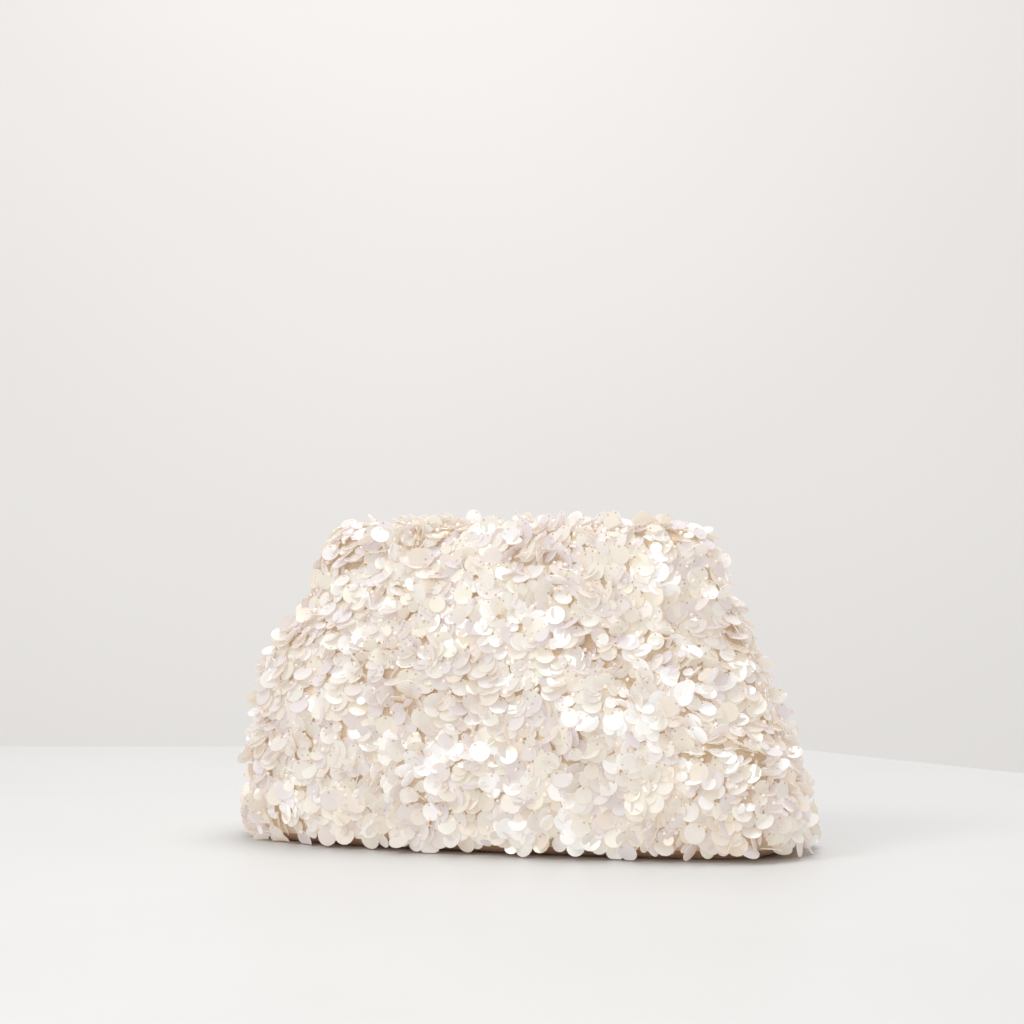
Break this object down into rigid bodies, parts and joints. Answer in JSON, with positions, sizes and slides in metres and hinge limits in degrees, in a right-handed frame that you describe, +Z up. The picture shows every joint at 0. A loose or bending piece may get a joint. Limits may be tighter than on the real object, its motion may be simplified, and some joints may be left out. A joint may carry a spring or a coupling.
{
  "type": "clutch purse",
  "caption": "Soft padded evening clutch covered in round sequins; its two top halves open about riveted steel frames hidden in the mouth.",
  "frame": {"origin": "middle of the flat base, at table level", "axes": "+X along the bag to the wearer's left as they look at its front from outside, which is the viewer's right; -Y is the front; +Z is up"},
  "size_m": [0.302, 0.118, 0.166],
  "materials": {
    "sequin_cloth": "cream cloth covered in overlapping pearly round sequins",
    "padding": "off-white needled wadding",
    "lining": "champagne satin",
    "sleeve": "matte twill tape",
    "board": "stiff fibre board",
    "frame_steel": "brushed spring steel",
    "rivet": "nickel-plated",
    "magnet": "nickel-plated"
  },
  "bodies": {
    "pouch_body": {"pouch_outer_wall": "sequin_cloth", "bottom_panel": "sequin_cloth", "base_board": "board", "pouch_padding": "padding", "pouch_lining": "lining", "slip_pocket": "lining", "side_gusset_left": "lining", "side_gusset_right": "lining", "hinge_rivet_left": "rivet", "hinge_rivet_right": "rivet", "hinge_washer_left": "rivet", "hinge_washer_right": "rivet"},
    "front_half": {"front_outer_panel": "sequin_cloth", "front_padding": "padding", "front_lining": "lining", "front_frame": "frame_steel", "front_frame_sleeve": "sleeve", "front_magnet_tape": "sleeve", "front_magnet_left": "magnet", "front_magnet_right": "magnet"},
    "back_half": {"back_outer_panel": "sequin_cloth", "back_padding": "padding", "back_lining": "lining", "back_frame": "frame_steel", "back_frame_sleeve": "sleeve", "back_magnet_tape": "sleeve", "back_magnet_left": "magnet", "back_magnet_right": "magnet"}
  },
  "joints": [
    {"name": "front_frame_hinge", "type": "hinge", "parent": "pouch_body", "child": "front_half", "pos_m": [0, 0, 0.083], "axis": [1, 0, 0], "range_deg": [0, 35]},
    {"name": "back_frame_hinge", "type": "hinge", "parent": "pouch_body", "child": "back_half", "pos_m": [0, 0, 0.083], "axis": [1, 0, 0], "range_deg": [-35, 0]}
  ],
  "couplings": [
    {"joint": "back_frame_hinge", "follows": "front_frame_hinge", "ratio": -1}
  ]
}
